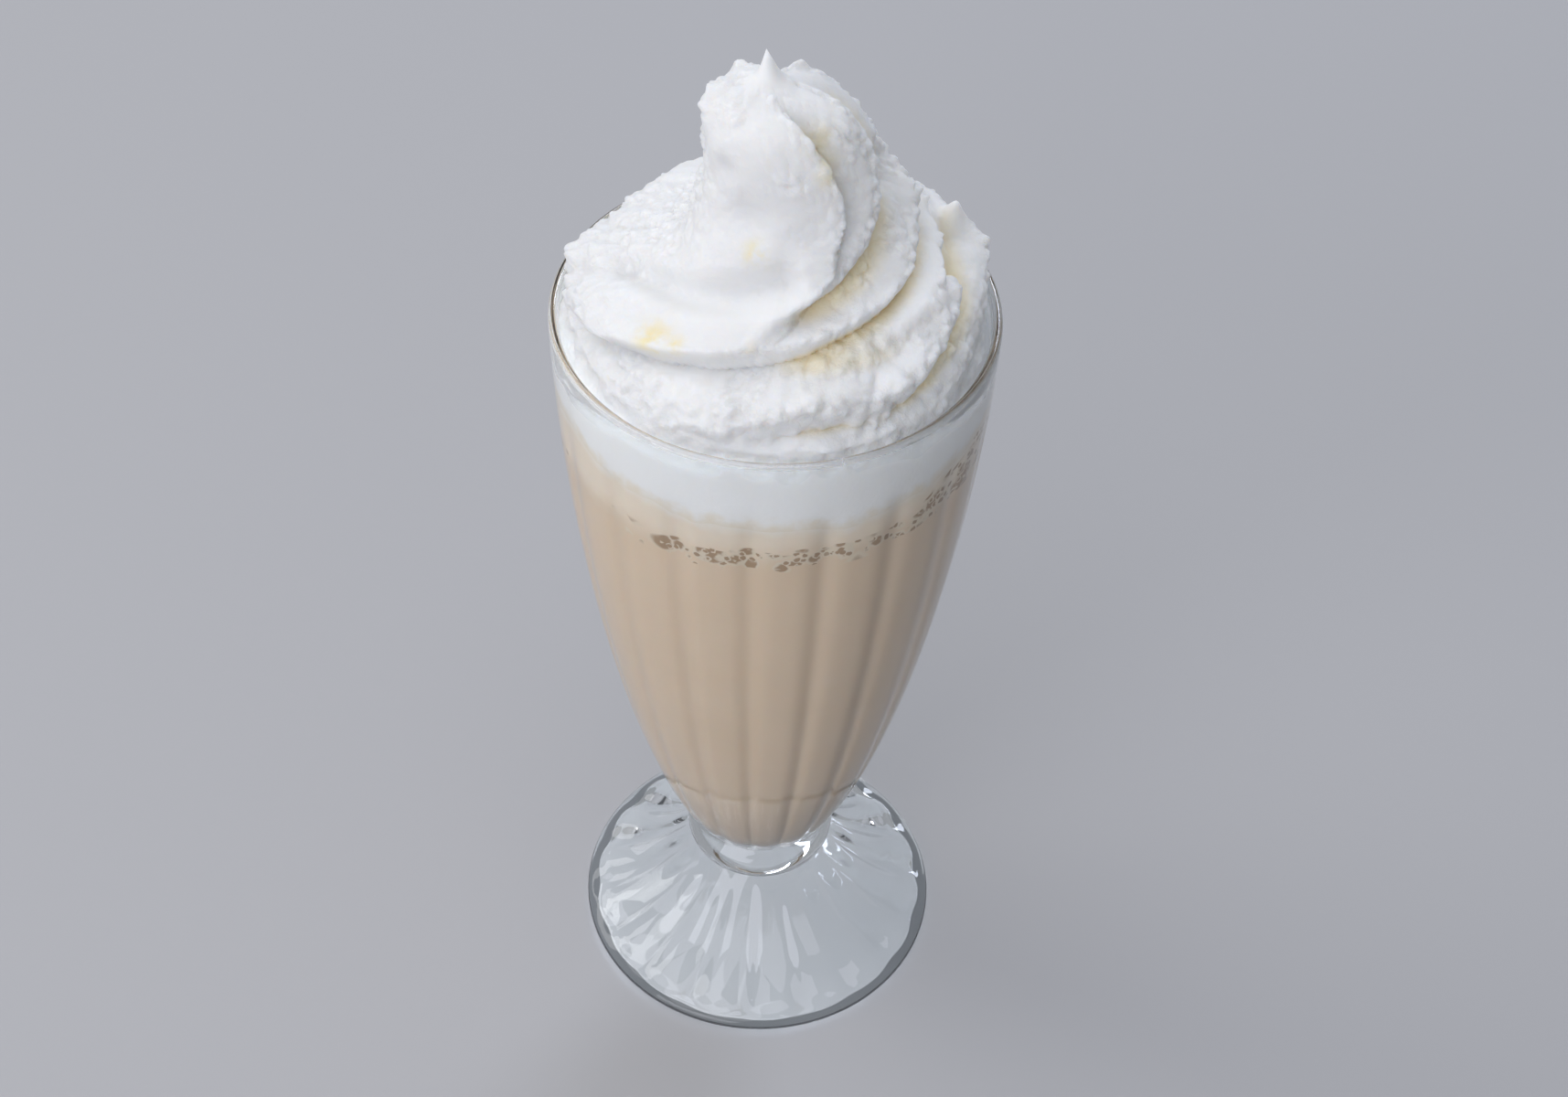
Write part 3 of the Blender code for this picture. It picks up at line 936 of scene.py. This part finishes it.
    def phase(self) -> Array:
        """Position in folds: azimuth share plus the turns wound so far, a little uneven.

        Returns:
            The phase, whole numbers being creases.
        """
        skin = self.skin
        wander = self.lumps.layers(skin.points(), *self.wander_lumps)
        start, end = (rise(skin.around(), *side) for side in self.spread_sides)
        moved = self.wander * wander * rise(skin.radius, *self.wander_from)
        moved = moved - self.spread * start * end * rise(skin.radius, *self.spread_from)
        return skin.azimuth * self.folds / 360.0 + skin.turns + moved

    def last_turn(self) -> tuple[Array, Array, Array]:
        """The last turn of cream, whose edge runs from the tip down the front and to the left.

        Returns:
            How far it stands over the cream beside it, how far it covers the folds, both from
            0 to 1, and the distance in mm behind its edge.
        """
        skin = self.skin
        turn = np.mod(np.interp(skin.radius, self.edge_radii, self.edge_azimuths) - skin.azimuth, 360.0)
        ending = rise(skin.radius, *self.ending)
        cover = smooth_step(turn / (self.cover_start[0] + self.cover_start[1] * ending))
        cover = cover * smooth_step((self.cover_end[0] - self.cover_end[1] * ending - turn) / self.cover_fall)
        inside = np.radians(turn) * skin.radius
        inside = np.maximum(inside + self.lumps.layers(skin.points(), *self.edge_lumps), 0.0)
        step = self.edge_step[0] + (self.edge_step[1] - self.edge_step[0]) * ending
        over = smooth_step(inside / step) * np.exp(-inside / self.edge_reach)
        return over, cover, inside

    def torn(self, ridge: Array, inside: Array) -> Array:
        """How torn the cream is: most on crests, at the last turn's edge, on both sides and at the rim.

        Args:
            ridge: 1 along the crests.
            inside: Distance in mm behind the last turn's edge.

        Returns:
            From 0 to 1.
        """
        skin = self.skin
        rough = self.torn_least + ridge + np.exp(-((inside / self.torn_edge) ** 2))
        share, pitch, shift = self.torn_lumps
        rough = rough + share * rise(self.lumps.at(skin.points() + shift, pitch), *self.torn_lumps_from)
        for azimuth, half_angle, share in self.torn_places:
            rough = rough + share * skin.hump(azimuth, half_angle)
        share, *rim = self.torn_rim
        rough = rough + share * rise(skin.radius, *rim)
        return np.minimum(rough, 1.0) * rise(skin.radius, *self.torn_from)

    def crumbs(self, rough: Array) -> Array:
        """Height of the torn crumbs, and of the larger clumps at the front right and on the left.

        Args:
            rough: How torn the cream is.

        Returns:
            Height in mm.
        """
        skin = self.skin
        place = skin.points()
        high = self.lumps.layers(place, *self.crumb_lumps, knobs=True) - self.crumb_mean
        high = self.crumb * high * rough
        height, pitch, shift = self.clump
        for azimuth, half_angle, least in self.clump_places:
            share = skin.hump(azimuth, half_angle) * rise(skin.radius, least, self.clump_rise)
            high = high + height * share * (np.abs(self.lumps.at(place + shift, pitch)) - self.clump_mean)
        return high * rise(skin.z, *self.crumb_from)

    def furrow(self) -> Array:
        """Depth of the soft crease across the last turn: exp(-(distance / width)^2).

        Returns:
            Depth in mm.
        """
        line = np.array(self.soft_crease)
        around = self.skin.around()
        away = (self.skin.radius - np.interp(around, line[:, 0], line[:, 1])) / self.soft_width
        start, end = (rise(around, *side) for side in self.soft_ends)
        return self.soft_depth * np.exp(-(away**2)) * start * end

    def inward(self) -> Array:
        """How far the cream is drawn in, at its dents and where it leaves the rim.

        Returns:
            Distance in mm.
        """
        skin = self.skin
        total = np.zeros((self.rings, self.columns))
        for dent in self.dents:
            share = skin.hump(dent.azimuth, dent.half_angle)
            total += dent.depth * share * np.exp(-(((skin.up - dent.place) / dent.reach) ** 2))
        total *= smooth_step(skin.radius / self.dent_until)
        gap = self.lumps.layers(skin.points(), self.ragged, knobs=True) - self.ragged_mean
        gap = gap * rise(skin.radius, *self.ragged_until)
        for depth, azimuth, half_angle in self.rim_gaps:
            gap = gap + depth * skin.hump(azimuth, half_angle)
        return total + gap * rise(skin.radius, *self.rim_from)

    def surface(self) -> tuple[Array, Array, Array]:
        """Grid of the swirl from tip to rim: the mean surface raised along its outward direction.

        Returns:
            The points, and from 0 to 1 how much painted warm shade the creases get, most of all on
            the right, and how torn the cream is.
        """
        skin = self.skin
        phase = self.phase()
        over, cover, inside = self.last_turn()
        fold = self.fold(phase) * (1.0 - cover) + self.cover_level * cover
        fade = rise(skin.radius, *self.fold_from[0]) * rise(skin.z, *self.fold_from[1])
        rough = self.torn(self.ridge(phase) * (1.0 - cover), inside)
        raised = self.fold_height * (fold - self.fold_mean) * (1.0 - self.calm * over)
        raised = raised + self.edge_height * (over - self.edge_mean)
        raised = raised + self.lumps.layers(skin.points(), self.swell)
        raised = raised * fade + self.crumbs(rough) - self.furrow()
        middle = self.lean * np.sin(np.pi * skin.up) + self.tip[0] * rise(skin.up, *self.tip_bend)
        points = turned(skin.radius - self.inward() + raised * skin.out_r,
                        skin.z + raised * skin.out_z, skin.azimuth, middle)
        for pull in (*self.dimples, *self.pulls):
            near = np.linalg.norm(points - np.array(pull.place), axis=-1)
            way = np.array(pull.way) / np.linalg.norm(pull.way)
            height = pull.height * np.exp(-((near / pull.width) ** pull.power))
            points = points + height[..., None] * way
        # painted warm shade in the creases, strongest on the right side
        least, *side = self.crease_shade_side
        crease_shade_side = least + (1.0 - least) * rise(skin.around(), *side)
        return points, (1.0 - fold) * fade * crease_shade_side, rough

    def wall(self, last: Array) -> tuple[Array, Array]:
        """Rings down the glass's inside, from the swirl's last ring to the froth.

        Args:
            last: The swirl's last ring.

        Returns:
            The rings, which reach the glass a little under the rim, and from 1 at the top to 0
            there how far they stand off it.
        """
        azimuth = np.degrees(np.arctan2(last[:, 0], -last[:, 1]))
        low = self.filling.froth_top(azimuth)
        top = last[:, 2]
        z = low + (top - low) * np.linspace(1.0, 0.0, self.wall_rings + 1)[1:, None]
        plain = self.filling.glass.inner(z, azimuth) + self.filling.reach
        gap = np.maximum(plain[0] - np.hypot(last[:, 0], last[:, 1]), 0.3)
        lumps = Lumps(seed=5)
        start = self.wall_top - gap + lumps.layers(last, self.wall_lumps)
        share = smooth_step((z - start) / (top - start))
        crumbs = lumps.layers(turned(plain, z, azimuth), *self.wall_crumbs) * share * smooth_step(top - z)
        return turned(np.minimum(plain - gap * share - self.crumb * crumbs, plain), z, azimuth), share

    def build(self) -> None:
        """Makes the cream as one closed surface from its underside to the tip."""
        points, depth, torn = self.surface()
        wall, loose = self.wall(points[-1])
        low = wall[-1, :, 2]
        rows = np.concatenate([points, wall])[::-1]
        piece = shell("cream_swirl", rows, (0.0, 0.0, float(low.mean())), self.tip)
        # painted warm light around those places
        warm_light_share = np.zeros(rows.shape[:2])
        for spot in self.painted_warm_light:
            away = np.linalg.norm(rows - np.array(spot.place), axis=-1)
            warm_light_share = np.maximum(warm_light_share, np.exp(-((away / spot.reach) ** 2)))
        least, most = self.wall_torn
        paint(piece, "painted_warm_light", warm_light_share, 0.0, 0.0)
        # painted warm shade in the creases
        paint(piece, "painted_crease_shade", np.concatenate([depth, np.zeros(wall.shape[:2])])[::-1], 0.0, 0.0)
        paint(piece, "torn", np.concatenate([torn, least + (most - least) * loose])[::-1], 0.0, 0.0)
        paint(piece, "level", rows[..., 2] - low, 0.0, self.tip[2] - self.filling.froth_level)
        dress(piece, self.finish.material(), "cream")


class Lamp(Enum):
    """Soft lamps overhead, behind left, behind right and in front: place, size, watts and colour."""

    TOP = ((-0.4, -0.2, 1.9), (1.8, 1.5), 12.8, "#fafaff")
    WINDOW = ((-1.15, 0.45, 1.0), (0.8, 0.7), 4.5, "#fbfaf8")
    SKY = ((0.45, 1.15, 1.05), (0.45, 0.35), 6.0, "#e8efff")
    FILL = ((-0.75, -1.2, 0.75), (1.2, 0.9), 9.2, "#f8f8ff")


@dataclass
class Studio:
    """Floor, lights and camera."""

    board: PaleBoard = PaleBoard()
    eye: Triple = (0.0, -0.3494, 0.4946)
    pitch: float = 47.051
    yaw: float = 0.529
    roll: float = 2.211
    lens: float = 57.40
    sensor: float = 36.0  # mm
    aim: Triple = (0.0, 0.0, 0.12)
    floor_half: float = 8.0  # m
    sky: str = "#dfe3ea"
    sky_strength: float = 0.42

    def floor(self) -> None:
        """A level board under the glass."""
        x, y = np.meshgrid(*[(-self.floor_half, self.floor_half)] * 2)
        points = np.stack([x.ravel(), y.ravel(), np.zeros(4)], axis=-1)
        mesh = bpy.data.meshes.new("floor")
        mesh.from_pydata(points.tolist(), [], [(0, 1, 3, 2)])
        mesh.materials.append(self.board.material())
        holder = bpy.data.objects.new("floor", mesh)
        bpy.context.scene.collection.objects.link(holder)

    def lights(self) -> None:
        """The lamps, turned to the glass, and an even pale sky."""
        for lamp in Lamp:
            place, size, power, colour = lamp.value
            data = bpy.data.lights.new(lamp.name.lower(), "AREA")
            data.shape, data.size, data.size_y, data.energy = "RECTANGLE", *size, power
            data.color = linear(colour)[:3]
            holder = bpy.data.objects.new(lamp.name.lower(), data)
            aim = Vector(self.aim) - Vector(place)
            turn = aim.to_track_quat("-Z", "Y").to_matrix().to_4x4()
            holder.matrix_world = Matrix.Translation(place) @ turn
            bpy.context.scene.collection.objects.link(holder)
        world = bpy.data.worlds.new("studio")
        world.use_nodes = True
        sky = world.node_tree.nodes["Background"]
        sky.inputs["Color"].default_value = linear(self.sky)
        sky.inputs["Strength"].default_value = self.sky_strength
        bpy.context.scene.world = world
        bpy.context.scene.view_settings.view_transform = "Standard"

    def camera(self) -> None:
        """The camera, looking down at the glass: forward, right and up follow pitch, yaw and roll."""
        pitch, yaw, roll = (math.radians(a) for a in (self.pitch, self.yaw, self.roll))
        ahead = Vector((math.sin(yaw) * math.cos(pitch), math.cos(yaw) * math.cos(pitch), -math.sin(pitch)))
        level = Vector((math.cos(yaw), -math.sin(yaw), 0.0))
        upright = level.cross(ahead)
        right = level * math.cos(roll) + upright * math.sin(roll)
        up = upright * math.cos(roll) - level * math.sin(roll)
        turn = Matrix((right, up, -ahead)).transposed().to_4x4()
        data = bpy.data.cameras.new("camera")
        data.lens, data.sensor_width, data.sensor_fit = self.lens, self.sensor, "HORIZONTAL"
        data.clip_start = 0.01
        holder = bpy.data.objects.new("camera", data)
        holder.matrix_world = Matrix.Translation(self.eye) @ turn
        bpy.context.scene.collection.objects.link(holder)
        bpy.context.scene.camera = holder

    def build(self) -> None:
        """Sets up the whole studio."""
        self.floor()
        self.lights()
        self.camera()


def main() -> None:
    """Builds the glass, its filling and the cream, then the studio."""
    logging.basicConfig(level=logging.INFO, format="%(name)s: %(message)s")
    glass = SodaGlass()
    glass.build()
    filling = Filling(glass)
    filling.build()
    CreamSwirl(filling).build()
    Studio().build()


if __name__ == "__main__":
    main()
